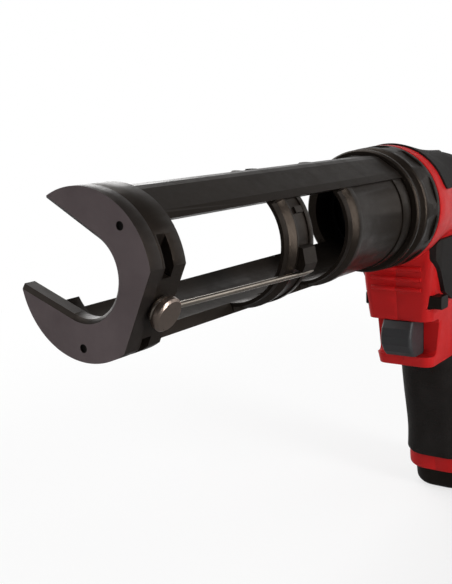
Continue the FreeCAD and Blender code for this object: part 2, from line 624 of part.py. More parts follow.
def pull_ring():
    hub_start = "body_back + stroke + 2"
    hub = rod_along("pull_hub", "8.5", "14", "x", hub_start)
    ring = bind(fresh("Part::Torus", "pull_loop"), Radius1="ring_radius", Radius2="ring_wire")
    place(ring, f"{hub_start} + 14 + ring_radius - 1", "0", "0", (1, 0, 0), "90")
    socket = rod_along("pull_socket", "rod_radius", "10", "x", hub_start)
    return cut("pull_ring", fuse("pull_solid", hub, ring), socket)


# Drive

def tooth_outline(module, teeth, turn):
    """An involute gear's outline in the XZ plane about the origin, with its first tooth at a given turn."""
    pitch = module * teeth / 2
    angle = math.radians(mm("pressure"))
    base = pitch * math.cos(angle)
    outer = pitch + module
    root = pitch - 1.3 * module
    half = (math.pi * module / 2 - mm("tooth_gap")) / (2 * pitch)
    at_pitch = math.tan(angle) - angle
    radii = [max(base, root) + (outer - max(base, root)) * step / 5 for step in range(6)]
    flank = []
    for radius in radii:
        lean = math.acos(min(1.0, base / radius))
        flank.append((radius, half + at_pitch - (math.tan(lean) - lean)))
    points = []
    for number in range(teeth):
        middle = turn + 2 * math.pi * number / teeth
        side = [(root, flank[0][1])] + flank
        for radius, spread in side:
            points.append((radius, middle - spread))
        for radius, spread in reversed(side):
            points.append((radius, middle + spread))
    corners = [Vector(radius * math.sin(turn_at), 0, radius * math.cos(turn_at)) for radius, turn_at in points]
    return Part.Face(Part.makePolygon(corners + corners[:1]))


def toothed(name, module, teeth, turn, start, width, x, z):
    """A spur gear along Y as a piece of its own place."""
    face = tooth_outline(module, teeth, turn)
    face.translate(Vector(mm(x), mm(start), mm(z)))
    return fixed(name, face.extrude(Vector(0, mm(width), 0)))


DRIVE_Z = "-rack_pitch_line - rack_module * pinion_teeth / 2"
CENTRES = "drive_module * (gear_teeth + output_teeth) / 2"
OUTPUT_X = f"drive_x + {CENTRES} * sin(output_lean)"
OUTPUT_Z = f"{DRIVE_Z} - {CENTRES} * cos(output_lean)"


def rack_pinion():
    count = int(mm("pinion_teeth"))
    blank = toothed("pinion_blank", mm("rack_module"), count, math.pi / count, "-pinion_width / 2", "pinion_width",
                    "drive_x", DRIVE_Z)
    return cut("rack_pinion", blank, rod_along("pinion_bore", "shaft_radius", "60", "y", "drive_x", "-30", DRIVE_Z))


def drive_gear():
    toward = math.pi - math.radians(mm("output_lean"))
    blank = toothed("gear_blank", mm("drive_module"), int(mm("gear_teeth")), toward, "gear_inner", "gear_width",
                    "drive_x", DRIVE_Z)
    hub = rod_along("gear_hub", "7", "gear_inner - pinion_width / 2", "y", "drive_x", "pinion_width / 2", DRIVE_Z)
    bore = rod_along("gear_bore", "shaft_radius", "60", "y", "drive_x", "-30", DRIVE_Z)
    return cut("drive_gear", fuse("gear_solid", blank, hub), bore)


def drive_shaft():
    return rod_along("drive_shaft", "shaft_radius", "2 * (cheek_inner + cheek_depth)", "y", "drive_x",
                     "-cheek_inner - cheek_depth", DRIVE_Z)


def output_pinion():
    count = int(mm("output_teeth"))
    toward = -math.radians(mm("output_lean")) + math.pi / count
    blank = toothed("output_blank", mm("drive_module"), count, toward, "gear_inner - 0.4", "gear_width + 0.8",
                    OUTPUT_X, OUTPUT_Z)
    shaft = rod_along("output_shaft", "output_radius", "cheek_inner + cheek_depth + case_right - 4", "y", OUTPUT_X,
                      "4 - case_right", OUTPUT_Z)
    return fuse("output_pinion", blank, shaft)


def shaft_bushes():
    """Two bushes of the drive shaft and one of the output shaft, in the cheeks."""
    rings = []
    for index, (x, z, radius, side) in enumerate((("drive_x", DRIVE_Z, "shaft_radius", -1),
                                                  ("drive_x", DRIVE_Z, "shaft_radius", 1),
                                                  (OUTPUT_X, OUTPUT_Z, "output_radius", 1))):
        start = "cheek_inner - 0.5" if side > 0 else "-cheek_inner - cheek_depth"
        outer = rod_along(f"bush_outer_{index}", f"{radius} + 2", "cheek_depth + 0.5", "y", x, start, z)
        inner = rod_along(f"bush_inner_{index}", f"{radius} + shaft_fit", "60", "y", x, "-30", z)
        rings.append(cut(f"bush_{index}", outer, inner))
    item = fresh("Part::Compound", "shaft_bushes")
    item.Links = rings
    return item


def gear_frame():
    outline = [(str(x), str(z)) for x, z in CHEEK_SIDE]
    cheeks = slab("frame_cheeks", "XZ_Plane", outline, "2 * (cheek_inner + cheek_depth)", both=True)
    front = rod_along("frame_front", "24", "cheek_depth + 1", "x", "nose_flange_end")
    between = block("frame_between", "80", "2 * cheek_inner", "120", "nose_flange_end + cheek_depth + 1",
                    "-cheek_inner", "-60")
    holes = [rod_along("frame_rod_hole", "rod_radius + 1", "20", "x", "30"),
             rod_along("frame_drive_hole", "shaft_radius + 2", "60", "y", "drive_x", "-30", DRIVE_Z),
             rod_along("frame_output_hole", "output_radius + 2", "60", "y", OUTPUT_X, "0", OUTPUT_Z)]
    holes += [rod_along(f"frame_screw_hole_{index}", "2", "20", "x", "30", f"{y}", f"{z}")
              for index, (y, z) in enumerate(FRAME_SCREWS)]
    return cut("gear_frame", fuse("frame_solid", cheeks, front), between, *holes)


def frame_screws():
    screws = []
    for index, (y, z) in enumerate(FRAME_SCREWS):
        shank = rod_along(f"frame_shank_{index}", "2", "cheek_depth + 1 + 7", "x", "nose_flange_end - 7", y, z)
        head = rod_along(f"frame_head_{index}", "2.6", "2.4", "x", "nose_flange_end + cheek_depth + 1", y, z)
        screws.append(fuse(f"frame_screw_{index}", shank, head))
    item = fresh("Part::Compound", "frame_screws")
    item.Links = screws
    return item


def gearbox_case():
    case = oblong("case_block", "XY_Plane", "case_front", "case_back", "-case_left", "case_right",
                  "2 * case_half_height", f"{OUTPUT_Z} - case_half_height", "3")
    hole = rod_along("case_hole", "output_radius + shaft_fit", "30", "y", OUTPUT_X, "4 - case_right - 0.3", OUTPUT_Z)
    return cut("gearbox_case", case, hole)


def motor():
    can = rod_along("motor_can", "motor_radius", "motor_length", "x", "case_back", "0", OUTPUT_Z)
    end = rod_along("motor_end", "5", "2.4", "x", "case_back + motor_length", "0", OUTPUT_Z)
    return fuse("motor", can, end)


# Housing

def barrel(grow):
    """The barrel's solid, with its surface moved outwards."""
    wires = []
    for x, top, bottom, half in BARREL:
        points = []
        for step in range(24):
            turn = 2 * math.pi * step / 24
            rise = top if math.cos(turn) > 0 else bottom
            points.append(Vector(x, (half + grow) * math.sin(turn), (rise + grow) * math.cos(turn)))
        curve = Part.BSplineCurve()
        curve.interpolate(Points=points, PeriodicFlag=True)
        wires.append(Part.Wire(curve.toShape()))
    return Part.makeLoft(wires, True, False)


def rounded_wire(level, front, back, half, front_round, back_round):
    """A closed outline at a level, with rounded front and rear corners."""
    ends = ((front, 1, front_round), (back, -1, back_round))
    corners = []
    for side in (-1, 1):
        for x, inward, radius in (ends if side < 0 else reversed(ends)):
            middle = Vector(x + inward * radius, side * (half - radius), level)
            along = Vector(x, side * (half - radius), level)
            across = Vector(x + inward * radius, side * half, level)
            turn = radius * math.sqrt(0.5)
            bend = Vector(middle.x - inward * turn, middle.y + side * turn, level)
            first, last = (along, across) if (side < 0) == (inward > 0) else (across, along)
            corners.append((first, bend, last))
    edges = []
    for corner, after in zip(corners, corners[1:] + corners[:1]):
        edges.append(Part.Arc(*corner).toShape())
        edges.append(Part.makeLine(corner[2], after[0]))
    return Part.Wire(edges)


def neck(grow):
    """The neck block's solid, with its surface moved outwards."""
    wires = [rounded_wire(-(depth + (grow if depth == NECK[-1][0] else 0)), front - grow, back + grow, half + grow,
                          mm("neck_corner") + grow, 14 + grow) for depth, front, back, half in NECK]
    return Part.makeLoft(wires, True, False)


def grip(grow):
    """The handle's solid, with its surface moved outwards; an inner one runs out through the rim."""
    past = 1.0 if grow < 0 else 0.0
    wires = [rounded_wire(-(depth + (past if depth == GRIP[-1][0] else 0)), -front - grow, back + grow, half + grow,
                          15 + grow, 15 + grow) for depth, front, back, half in GRIP]
    solid = Part.makeLoft(wires, True, False)
    lean = Rotation(Vector(0, 1, 0), -mm("rake"))
    solid.Placement = Placement(Vector(mm("handle_x"), 0, -mm("handle_drop")), lean)
    return solid


def form(grow):
    """The housing's solid form, with its surface moved outwards; an inner one stops short of the barrel's ends."""
    ends = Part.makeBox(mm("body_back - body_front") + 2 * grow, BIG, BIG,
                        Vector(mm("body_front") - grow, -BIG / 2, -BIG / 2))
    body = barrel(grow).common(ends) if grow < 0 else barrel(grow)
    return body.fuse([neck(grow), grip(grow)])


def half_space(name, side):
    """All space on one side of the middle plane."""
    return block(name, "3 * nose_reach", "nose_reach", "3 * nose_reach", "-nose_reach",
                 "0" if side > 0 else "-nose_reach", "-1.5 * nose_reach")


def notch(name, grow):
    """The trigger notch, grown by a margin."""
    return oblong(name, "XZ_Plane", "20", f"notch_back + {grow}", f"-notch_bottom - {grow}", f"-notch_top + {grow}",
                  "80", "0", f"3 + {grow}", both=True)


def housing_shell():
    """Both housing halves before they are parted."""
    outer = fixed("housing_outer", form(0))
    ridges = [rod_along(f"neck_ridge_{index}", "1.3", "2 * ridge_half", "y", "43.4", "-ridge_half", z)
              for index, z in enumerate(("-37", "-43", "-49"))]
    room = fixed("housing_room", form(-mm("wall")))
    hollow = cut("housing_hollow", room, notch("notch_wall", "wall"))
    shell = cut("housing_empty", fuse("housing_solid", outer, *ridges), hollow, notch("notch_open", "0"))
    bosses = [rod_along(f"boss_{index}", "boss_radius", "80", "y", x, "-40", z)
              for index, (x, z) in enumerate(SCREWS)]
    bosses.append(block("button_rib", "2", "80", "12", "131.5", "-40", "-button_drop - 6"))
    for index, y in enumerate(("4.2", "-8.8")):
        bosses.append(block(f"dial_boss_{index}", "9", "4.6", "30", "dial_x - 4.5", y, "dial_z - 4"))
    ribs = common("housing_ribs", fuse("rib_solids", *bosses), outer)
    whole = fuse("housing_whole", shell, ribs)
    gap = "slide_gap"
    holes = [
        rod_along("front_hole", "neck_radius + 0.05", "wall + 2", "x", "body_front - 1"),
        rod_along("rear_hole", "bush_radius", "wall + 4", "x", "body_back - wall - 2"),
        rod_along("button_hole", f"button_radius + {gap}", "wall + 4", "x", "body_back - wall - 2", "0",
                  "-button_drop"),
        block("trigger_hole", "wall + 4", f"2 * (trigger_half + {gap})", "notch_bottom - notch_top",
              "notch_back - 2", f"-trigger_half - {gap}", "-notch_bottom"),
        block("shuttle_hole", f"shuttle_length + 2 * {gap}", "80", f"shuttle_height + 2 * {gap}",
              f"shuttle_front - {gap}", "-40", f"-shuttle_top - shuttle_height - {gap}"),
        dial_slot("housing_dial_slot"),
        rod_along("housing_axle_hole", "axle_radius", "17.6", "y", "dial_x", "-8.8", "dial_z"),
    ]
    holes += [rod_along(f"housing_screw_hole_{index}", "screw_radius", "28", "y", x, "-14", z)
              for index, (x, z) in enumerate(SCREWS)]
    return cut("housing", whole, *holes, *counterbores("housing"))


def dial_slot(name):
    return block(name, "2 * dial_radius + 1.2", "2 * dial_half + 0.8", "2 * dial_radius + 1.2",
                 "dial_x - dial_radius - 0.6", "-dial_half - 0.4", "dial_z - dial_radius - 0.6")


def counterbores(name):
    """Recesses for the housing screws' heads, from the right."""
    return [rod_along(f"{name}_counterbore_{index}", "screw_head + 0.3", "40", "y", x, "12", z)
            for index, (x, z) in enumerate(SCREWS)]


def housing_screws():
    screws = []
    for index, (x, z) in enumerate(SCREWS):
        shank = rod_along(f"screw_shank_{index}", "screw_radius", "26", "y", x, "-14", z)
        head = rod_along(f"screw_head_{index}", "screw_head", "2.2", "y", x, "12", z)
        drive = rod_along(f"screw_drive_{index}", "1.2", "1.4", "y", x, "12.9", z)
        screws.append(cut(f"screw_{index}", fuse(f"screw_solid_{index}", shank, head), drive))
    item = fresh("Part::Compound", "housing_screws")
    item.Links = screws
    return item


def top_cover_solid(outer):
    over = fixed("cover_form", barrel(mm("cover_depth")))
    region = oblong("cover_region", "XZ_Plane", "cover_front", "140", "cover_edge", "60", "120", "0", "5", both=True)
    skin = cut("cover_skin", common("cover_band", over, region), outer)
    return cut("top_cover", skin, dial_slot("cover_dial_slot"), *counterbores("cover"))


def side_panel_solid(outer):
    over = fixed("panel_form", neck(mm("panel_rise")))
    outline = [(str(x), str(z)) for x, z in PANEL_SIDE]
    region = slab("panel_region", "XZ_Plane", outline, "120", both=True, corner="4")
    return cut("side_panel", common("panel_band", over, region), outer)


def handle_grip_solid(outer):
    over = fixed("grip_form", grip(mm("grip_depth")))
    outline = [("-50", "-44"), ("-14", "-32"), ("40", "-6"), ("60", "-6"), ("60", "-104"), ("-50", "-108")]
    region = in_handle(slab("grip_region", "XZ_Plane", outline, "120", both=True))
    return cut("handle_grip", common("grip_band", over, region), outer)


def in_handle(item):
    """Puts a piece that was drawn about the handle's axis into the handle."""
    return place(item, "handle_x", "0", "-handle_drop", (0, 1, 0), "-rake")


def parted(whole, left_name, right_name):
    """The left and right halves of a solid."""
    return [common(left_name, whole, half_space(left_name + "_side", -1)),
            common(right_name, whole, half_space(right_name + "_side", 1))]


# Controls

def trigger():
    top = "-notch_top - trigger_gap"
    foot = "-notch_bottom + trigger_gap"
    front = "trigger_front"
    outline = [(f"{front} + 4", top), (f"{front} + 1.2", f"{top} - 4"), (front, f"{top} - 9"),
               (f"{front} + 0.6", f"{top} - 14"), (f"{front} + 3.5", f"{top} - 18.6"), (f"{front} + 6.5", foot),
               ("trigger_back", foot), ("trigger_back", top)]
    body = slab("trigger", "XZ_Plane", outline, "2 * trigger_half", both=True)
    doc.recompute()
    pad = body.Tip
    rims = []
    for number, edge in enumerate(pad.Shape.Edges, 1):
        flat = abs(edge.BoundBox.YLength) < 1e-6
        if flat and edge.BoundBox.XMin < mm("trigger_back") - 1e-6 and edge.BoundBox.ZLength > 1e-6:
            rims.append(f"Edge{number}")
    rounding = body.newObject("PartDesign::Fillet", "trigger_round")
    rounding.Base = (pad, [name for name in rims if pad.Shape.getElement(name).BoundBox.XMax < mm("trigger_back") - 1])
    rounding.Radius = 2.0
    body.Tip = rounding
    return body


def coil(name, radius, wire, start, length, turns, z):
    """A close helical spring along X."""
    helix = Part.makeHelix((length - 2 * wire) / turns, length - 2 * wire, radius)
    ring = Part.Wire(Part.makeCircle(wire, Vector(radius, 0, 0), Vector(0, 1, 0)))
    solid = Part.Wire(helix).makePipeShell([ring], True, True)
    solid.Placement = Placement(Vector(start + wire, 0, z), Rotation(Vector(0, 1, 0), 90))
    return fixed(name, solid)


def trigger_spring():
    middle = -mm("(notch_top + notch_bottom) / 2")
    return coil("trigger_spring", mm("spring_radius"), mm("spring_wire"), mm("trigger_back") + 0.06,
                mm("switch_front - trigger_back") - 0.12, int(mm("spring_turns")), middle)


def switch_box():
    return oblong("switch_box", "XZ_Plane", "switch_front", "switch_front + switch_length", "-notch_bottom + 0.6",
                  "-notch_top + 0.6", "2 * switch_half", "0", "1.5", both=True)


def lock_shuttle():
    return oblong("lock_shuttle", "XZ_Plane", "shuttle_front", "shuttle_front + shuttle_length",
                  "-shuttle_top - shuttle_height", "-shuttle_top", "shuttle_left + shuttle_right", "-shuttle_right",
                  "1.4")


def speed_dial():
    wheel = rod_along("dial_wheel", "dial_radius", "2 * dial_half", "y", "dial_x", "-dial_half", "dial_z")
    bore = rod_along("dial_bore", "axle_radius + shaft_fit", "20", "y", "dial_x", "-10", "dial_z")
    notches = [rod_along(f"dial_notch_{index}", "0.9", "20", "y",
                         f"dial_x + (dial_radius + 0.3) * cos({index} * 15)", "-10",
                         f"dial_z + (dial_radius + 0.3) * sin({index} * 15)") for index in range(24)]
    return cut("speed_dial", wheel, bore, *notches)


def dial_axle():
    return rod_along("dial_axle", "axle_radius", "17.6", "y", "dial_x", "-8.8", "dial_z")


def release_button():
    return place(turned("release_button", [
        ("body_back - wall - 4", "0"), ("body_back - wall - 4", "button_radius - 1"),
        ("body_back - wall - 2.3", "button_radius - 1"), ("body_back - wall - 2.3", "button_radius + 1"),
        ("body_back - wall - 0.2", "button_radius + 1"), ("body_back - wall - 0.2", "button_radius"),
        ("body_back + button_press + 0.4", "button_radius"), ("body_back + button_press + 1.2", "button_radius - 0.9"),
        ("body_back + button_press + 1.2", "0")]), "0", "0", "-button_drop")


def release_spring():
    start = 133.5
    return coil("release_spring", 2.6, mm("spring_wire"), start + 0.06, mm("body_back - wall - 4") - start - 0.12, 3,
                -mm("button_drop"))


# Handle contents and battery, drawn about the handle's axis and placed with it

def control_board():
    return in_handle(oblong("control_board", "XY_Plane", "8", "9.6", "-12", "12", "22.5", "-30.5"))


def terminal_block():
    return in_handle(oblong("terminal_block", "XY_Plane", "-12", "12", "-11", "11", "6.5", "-37", "2"))


def terminal_blades():
    item = fresh("Part::Compound", "terminal_blades")
    item.Links = [block(f"blade_{index}", "0.8", "5", "8", f"{x} - 0.4", "-2.5", "-45")
                  for index, x in enumerate(("-6", "0", "6"))]
    return in_handle(item)


def pack_outline(name, margin, length, offset):
    depth = f"pack_half_depth - {margin}"
    width = f"pack_half_width - {margin}"
    return oblong(name, "XY_Plane", f"-({depth})", depth, f"-({width})", width, length, offset,
                  f"pack_corner - {margin}")


def battery_case():
    base = "-handle_length - foot_gap"
    solid = pack_outline("pack_solid", "0", "handle_length + foot_gap - pack_top", base)
    room = pack_outline("pack_room", "pack_wall", "handle_length + foot_gap - pack_top - pack_wall", base)
    slots = [block(f"blade_slot_{index}", "1.8", "6.4", "6", f"{x} - 0.9", "-3.2", "-pack_top - 3")
             for index, x in enumerate(("-6", "0", "6"))]
    return in_handle(cut("battery_case", solid, room, *slots))


def battery_cells():
    top = "-pack_top - 6.5"
    beside = "cell_radius + 0.05"
    nest = "cell_radius * sqrt(3) / 2 + 0.05"
    item = fresh("Part::Compound", "battery_cells")
    item.Links = [rod_along(f"cell_{index}", "cell_radius", "cell_length", "z", x, y, f"{top} - cell_length")
                  for index, (x, y) in enumerate(((f"-({beside})", f"-({nest})"), (beside, f"-({nest})"),
                                                  ("0", nest)))]
    return in_handle(item)


def battery_foot():
    base = "-handle_length - foot_gap - foot_height"
    body = oblong("foot_body", "XY_Plane", "-foot_front", "foot_back", "-foot_half", "foot_half", "foot_height", base,
                  "foot_corner")
    doc.recompute()
    shaped = body.Tip
    bottom = [f"Edge{number}" for number, edge in enumerate(shaped.Shape.Edges, 1)
              if edge.BoundBox.ZMax < mm(base) + 0.01]
    rounding = body.newObject("PartDesign::Fillet", "foot_edge")
    rounding.Base = (shaped, bottom)
    bind(rounding, Radius="foot_round")
    body.Tip = rounding
    plug_top = "pack_top + 6.5 + cell_length"
    plug = pack_outline("foot_plug", "(pack_wall + 0.1)", f"handle_length + foot_gap - ({plug_top})",
                        "-handle_length - foot_gap")
    pockets = [latch_shape(f"latch_pocket_{name}", side, "0.3", "latch_travel + 0.6")
               for name, side in (("left", -1), ("right", 1))]
    return in_handle(cut("battery_foot", fuse("foot_solid", body, plug), *pockets))


def latch_shape(name, side, margin, deeper):
    """A latch button or its pocket in one side of the battery foot."""
    reach = "foot_half + latch_proud" if margin == "0" else "foot_half + 5"
    inner = f"foot_half - 5 - ({deeper})"
    offset = f"-({reach})" if side > 0 else inner
    return oblong(name, "XZ_Plane", f"-8 - {margin}", f"8 + {margin}",
                  f"-handle_length - foot_gap - 13 - {margin}", f"-handle_length - foot_gap - 4 + {margin}",
                  f"{reach} - ({inner})", offset, "2")


def battery_latch(name, side):
    return in_handle(latch_shape(name, side, "0", "0"))


# The document

def in_cradle(item):
    """Turns a piece that was drawn with the cradle's mouth upwards to the cradle's angle."""
    return place(item, axis=(1, 0, 0), angle="cradle_turn")


pieces = [in_cradle(make()) for make in (cradle, nose_plate, nose_pins, punch_pivot, punch_wire)]
pieces += [make() for make in (lock_collar, gear_nose, front_bush, rear_bush, plunger_disc, plunger_screw, rack_rod,
                               pull_ring, rack_pinion, drive_gear, drive_shaft, output_pinion, shaft_bushes,
                               gear_frame, frame_screws, gearbox_case, motor)]
housing = housing_shell()
form_outer = doc.getObject("housing_outer")
pieces += parted(housing, "left_housing", "right_housing")
pieces += parted(top_cover_solid(form_outer), "left_top_cover", "right_top_cover")
pieces += parted(side_panel_solid(form_outer), "left_side_panel", "right_side_panel")
pieces += parted(handle_grip_solid(form_outer), "left_grip", "right_grip")
pieces += [make() for make in (housing_screws, trigger, trigger_spring, switch_box, lock_shuttle, speed_dial,
                               dial_axle, release_button, release_spring, control_board, terminal_block,
                               terminal_blades, battery_case, battery_cells, battery_foot)]
pieces += [battery_latch("left_latch", -1), battery_latch("right_latch", 1)]
doc.recompute()

for item in doc.Objects:
    if "Invalid" in item.State or "Error" in item.State:
        raise SystemExit(f"{item.Name} did not build: {item.State}")
os.makedirs("parts", exist_ok=True)
for item in pieces:
    item.Label = item.Name
    shape = item.Shape
    if shape.isNull() or not shape.isValid() or not shape.Solids:
        raise SystemExit(f"{item.Name} has no valid solid")
    shape.exportStep(f"parts/{item.Name}.step")
    room = shape.BoundBox
    limits = (room.XMin, room.XMax, room.YMin, room.YMax, room.ZMin, room.ZMax)
    print(item.Name, len(shape.Solids), round(shape.Volume), [round(limit, 1) for limit in limits])
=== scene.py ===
import json
import math

import bpy
from mathutils import Matrix, Vector


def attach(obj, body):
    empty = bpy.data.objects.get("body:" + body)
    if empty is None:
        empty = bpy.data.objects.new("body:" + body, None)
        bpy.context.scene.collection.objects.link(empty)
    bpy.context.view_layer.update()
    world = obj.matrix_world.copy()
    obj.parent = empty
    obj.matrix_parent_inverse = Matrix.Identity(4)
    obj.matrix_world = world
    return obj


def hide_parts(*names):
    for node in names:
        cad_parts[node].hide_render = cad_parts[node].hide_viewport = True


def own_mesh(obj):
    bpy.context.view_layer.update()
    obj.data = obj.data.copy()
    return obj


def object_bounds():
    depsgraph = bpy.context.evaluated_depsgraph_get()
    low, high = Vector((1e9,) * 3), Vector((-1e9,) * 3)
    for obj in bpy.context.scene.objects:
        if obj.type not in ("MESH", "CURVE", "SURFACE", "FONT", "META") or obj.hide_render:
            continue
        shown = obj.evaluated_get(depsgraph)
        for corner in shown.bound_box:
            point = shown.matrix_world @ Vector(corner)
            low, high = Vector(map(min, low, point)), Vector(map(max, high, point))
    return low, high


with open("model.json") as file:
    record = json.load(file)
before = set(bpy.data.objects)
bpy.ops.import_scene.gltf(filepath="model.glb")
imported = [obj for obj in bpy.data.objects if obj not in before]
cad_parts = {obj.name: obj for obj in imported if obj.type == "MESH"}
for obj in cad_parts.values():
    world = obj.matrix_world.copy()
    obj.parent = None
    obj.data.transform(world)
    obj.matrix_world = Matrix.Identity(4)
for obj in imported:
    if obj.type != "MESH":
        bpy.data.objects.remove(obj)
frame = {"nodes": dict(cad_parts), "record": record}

CAD_BOX = [list(corner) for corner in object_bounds()]
NODES = frame["nodes"]
SLOT_OF = {part["node"]: part["material_slot"] for part in frame["record"]["subparts"]}


# Materials

WARM = (1.0, 0.79, 0.63)
NEUTRAL = (1.0, 1.0, 1.0)
ALONG_X = (0.05, 1.0, 1.0)
ALONG_Y = (1.0, 0.3, 1.0)
GRAIN_HEIGHT = 0.00012
MARK_HEIGHT = 0.00006
DUST_HEIGHT = 0.0001
DOT_HEIGHT = 0.0004


def shader(name):
    """A new node material, its tree, its shader and its object coordinates."""
    mat = bpy.data.materials.new(name)
    mat.use_nodes = True
    tree = mat.node_tree
    bsdf = tree.nodes["Principled BSDF"]
    where = tree.nodes.new("ShaderNodeTexCoord").outputs["Object"]
    return mat, tree, bsdf, where


def noise(tree, where, scale, detail=2.0, rough=0.5, stretch=None):
    """A noise value; stretch scales the coordinates along each axis."""
    if stretch:
        mapping = tree.nodes.new("ShaderNodeMapping")
        mapping.inputs["Scale"].default_value = stretch
        tree.links.new(where, mapping.inputs["Vector"])
        where = mapping.outputs["Vector"]
    node = tree.nodes.new("ShaderNodeTexNoise")
    node.inputs["Scale"].default_value = scale
    node.inputs["Detail"].default_value = detail
    node.inputs["Roughness"].default_value = rough
    tree.links.new(where, node.inputs["Vector"])
    return node.outputs["Fac"]


def ramp(tree, value, low, high, start=0.3, end=0.7):
    """A colour that runs between two colours as the value goes from start to end."""
    node = tree.nodes.new("ShaderNodeValToRGB")
    node.color_ramp.elements[0].position = start
    node.color_ramp.elements[0].color = (*low, 1)
    node.color_ramp.elements[1].position = end
    node.color_ramp.elements[1].color = (*high, 1)
    tree.links.new(value, node.inputs["Fac"])
    return node.outputs["Color"]


def spread(tree, value, low, high, start=0.3, end=0.7):
    """A number that runs from low to high as the value goes from start to end."""
    node = tree.nodes.new("ShaderNodeMapRange")
    node.inputs["From Min"].default_value = start
    node.inputs["From Max"].default_value = end
    node.inputs["To Min"].default_value = low
    node.inputs["To Max"].default_value = high
    tree.links.new(value, node.inputs["Value"])
    return node.outputs["Result"]


def bump(tree, bsdf, height, strength, distance, under=None):
    """Raises the surface by a height; under is a bump that lies below it."""
    node = tree.nodes.new("ShaderNodeBump")
    node.inputs["Strength"].default_value = strength
    node.inputs["Distance"].default_value = distance
    tree.links.new(height, node.inputs["Height"])
    if under:
        tree.links.new(under, node.inputs["Normal"])
    tree.links.new(node.outputs["Normal"], bsdf.inputs["Normal"])
    return node.outputs["Normal"]


def tinted(colour, factor):
    """A colour made lighter or darker by a factor."""
    return tuple(min(1.0, part * factor) for part in colour)


def mottled(tree, value, colour, darker, lighter):
    """A colour that varies between a darker and a lighter shade of itself."""
    return ramp(tree, value, tinted(colour, darker), tinted(colour, lighter))


def gloss_of(bsdf, level, tint):
    """Sets how much the surface mirrors, and in which colour."""
    bsdf.inputs["Specular IOR Level"].default_value = level
    bsdf.inputs["Specular Tint"].default_value = (*tint, 1.0)


def moulded(name, colour, rough, grain=2600.0, depth=0.35, mottle=0.14, gloss=0.5, tint=NEUTRAL):
    """Moulded plastic: a fine spark-eroded grain, faint flow mottling and rubbed patches."""
    mat, tree, bsdf, where = shader(name)
    broad = noise(tree, where, 38.0, 4.0, 0.6)
    fine = noise(tree, where, grain, 3.0, 0.6)
    tree.links.new(mottled(tree, broad, colour, 1 - mottle, 1 + mottle), bsdf.inputs["Base Color"])
    patches = noise(tree, where, 120.0, 5.0, 0.65)
    tree.links.new(spread(tree, patches, rough - 0.06, rough + 0.08), bsdf.inputs["Roughness"])
    bump(tree, bsdf, fine, depth, GRAIN_HEIGHT)
    gloss_of(bsdf, gloss, tint)
    return mat


def plate(name, face, side):
    """Plate in its own purple-grey on faces along X; sides and chamfers are painted near-black shade.
    """
    mat, tree, bsdf, where = shader(name)
    normal = tree.nodes.new("ShaderNodeSeparateXYZ")
    facing = tree.nodes.new("ShaderNodeTexCoord").outputs["Normal"]
    tree.links.new(facing, normal.inputs["Vector"])
    across = tree.nodes.new("ShaderNodeMath")
    across.operation = "ABSOLUTE"
    tree.links.new(normal.outputs["X"], across.inputs[0])
    cloud = noise(tree, where, 45.0, 5.0, 0.6)
    # painted shade: faces not along X (the sides and chamfers) get the near-black side colour
    mix = tree.nodes.new("ShaderNodeMix")
    mix.data_type = "RGBA"
    flat = spread(tree, across.outputs["Value"], 0.0, 1.0, 0.86, 0.97)
    tree.links.new(flat, mix.inputs["Factor"])
    tree.links.new(mottled(tree, cloud, side, 0.85, 1.15), mix.inputs["A"])
    tree.links.new(mottled(tree, cloud, face, 0.85, 1.15), mix.inputs["B"])
    tree.links.new(mix.outputs["Result"], bsdf.inputs["Base Color"])
    patches = noise(tree, where, 150.0, 5.0, 0.65)
    tree.links.new(spread(tree, patches, 0.34, 0.48), bsdf.inputs["Roughness"])
    bump(tree, bsdf, noise(tree, where, 3400.0, 3.0, 0.6), 0.22, GRAIN_HEIGHT)
    gloss_of(bsdf, 0.2, WARM)
    return mat


def rubber(name, colour, dots=0.0):
    """Soft overmould: matte and slightly dusty; dots is the number of raised dots per metre."""
    mat, tree, bsdf, where = shader(name)
    dust = noise(tree, where, 60.0, 6.0, 0.7)
    tree.links.new(mottled(tree, dust, colour, 0.85, 1.35), bsdf.inputs["Base Color"])
    tree.links.new(spread(tree, dust, 0.56, 0.74), bsdf.inputs["Roughness"])
    gloss_of(bsdf, 0.13, WARM)
    under = bump(tree, bsdf, noise(tree, where, 3200.0, 2.0), 0.3, DUST_HEIGHT)
    if dots:
        cells = tree.nodes.new("ShaderNodeTexVoronoi")
        cells.inputs["Scale"].default_value = dots
        cells.inputs["Randomness"].default_value = 0.0
        tree.links.new(where, cells.inputs["Vector"])
        raised = spread(tree, cells.outputs["Distance"], 1.0, 0.0, 0.22, 0.42)
        bump(tree, bsdf, raised, 0.5, DOT_HEIGHT, under)
    return mat


def metal(name, colour, rough, brush=(1.0, 1.0, 1.0), scale=900.0, depth=0.12):
    """Metal with fine marks drawn out along one axis and a cloudy finish."""
    mat, tree, bsdf, where = shader(name)
    bsdf.inputs["Metallic"].default_value = 1.0
    marks = noise(tree, where, scale, 4.0, 0.6, brush)
    cloud = noise(tree, where, 90.0, 5.0, 0.6)
    tree.links.new(mottled(tree, cloud, colour, 0.86, 1.08), bsdf.inputs["Base Color"])
    tree.links.new(spread(tree, marks, rough - 0.07, rough + 0.1), bsdf.inputs["Roughness"])
    bump(tree, bsdf, marks, depth, MARK_HEIGHT)
    return mat


